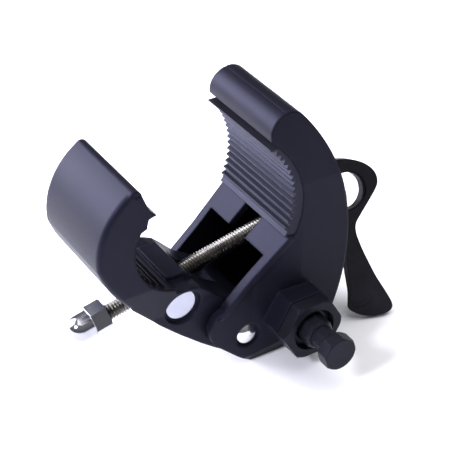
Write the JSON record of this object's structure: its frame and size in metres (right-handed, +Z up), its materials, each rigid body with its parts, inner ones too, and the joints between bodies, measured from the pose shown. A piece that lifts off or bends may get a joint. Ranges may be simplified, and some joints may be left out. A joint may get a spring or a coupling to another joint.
{
  "type": "pipe clamp",
  "caption": "Jaw clamp for stage pipe: fixed jaw with ribbed rubber pad, swinging jaw on a pivot, threaded rod with hand lever, and a faceted mounting stud.",
  "frame": {"origin": "middle of the fixed jaw's pipe seat, on the gripped pipe's axis", "axes": "+Y along the gripped pipe, away from the stud; +X towards the hand lever; +Z up as the clamp rests on a table"},
  "size_m": [0.1588, 0.0902, 0.1243],
  "materials": {
    "jaw_plastic": "satin",
    "pad_rubber": "matte",
    "rivet_steel": "polished",
    "plain_steel": "plain",
    "rod_steel": "plated",
    "dome_chrome": "polished",
    "insert_brass": "plain",
    "lever_plastic": "grained",
    "stud_black": "satin"
  },
  "bodies": {
    "frame_body": {"main_jaw": "jaw_plastic", "jaw_pad": "pad_rubber", "pivot_rivet": "rivet_steel", "pivot_cap": "rivet_steel", "near_washer": "plain_steel", "far_washer": "plain_steel", "spigot_stud": "stud_black", "stud_nut": "stud_black", "stud_washer": "stud_black", "stud_lock_nut": "plain_steel"},
    "swing_body": {"swing_jaw": "jaw_plastic", "swing_pad": "pad_rubber", "pivot_sleeve": "plain_steel"},
    "trunnion_body": {"trunnion": "rivet_steel"},
    "saddle_body": {"screw_saddle": "plain_steel"},
    "screw_body": {"screw_rod": "rod_steel", "dome_nut": "dome_chrome", "thrust_washer": "plain_steel", "hub_insert": "insert_brass", "hub_pin": "plain_steel", "hand_lever": "lever_plastic"}
  },
  "joints": [
    {"name": "rod_tilt", "type": "hinge", "parent": "frame_body", "child": "saddle_body", "pos_m": [0.05601, 0, -0.01952], "axis": [0, -1, 0], "range_deg": [-8, 2]},
    {"name": "lever_spin", "type": "hinge", "parent": "saddle_body", "child": "screw_body", "pos_m": [0.05601, 0, -0.01952], "axis": [0.9781, 0, 0.2079], "range_deg": [-4104, 760]},
    {"name": "jaw_swing", "type": "hinge", "parent": "frame_body", "child": "swing_body", "pos_m": [0.008, 0, -0.0615], "axis": [0, -1, 0], "range_deg": [-27.5, 5.5]},
    {"name": "trunnion_turn", "type": "hinge", "parent": "swing_body", "child": "trunnion_body", "pos_m": [-0.022, 0, -0.0361], "axis": [0, -1, 0], "range_deg": [-4.5, 20.5]}
  ],
  "couplings": [
    {"joint": "jaw_swing", "follows": "lever_spin", "ratio": 0.0065789},
    {"joint": "rod_tilt", "follows": "lever_spin", "ratio": 0.0017829},
    {"joint": "trunnion_turn", "follows": "lever_spin", "ratio": -0.004796}
  ]
}
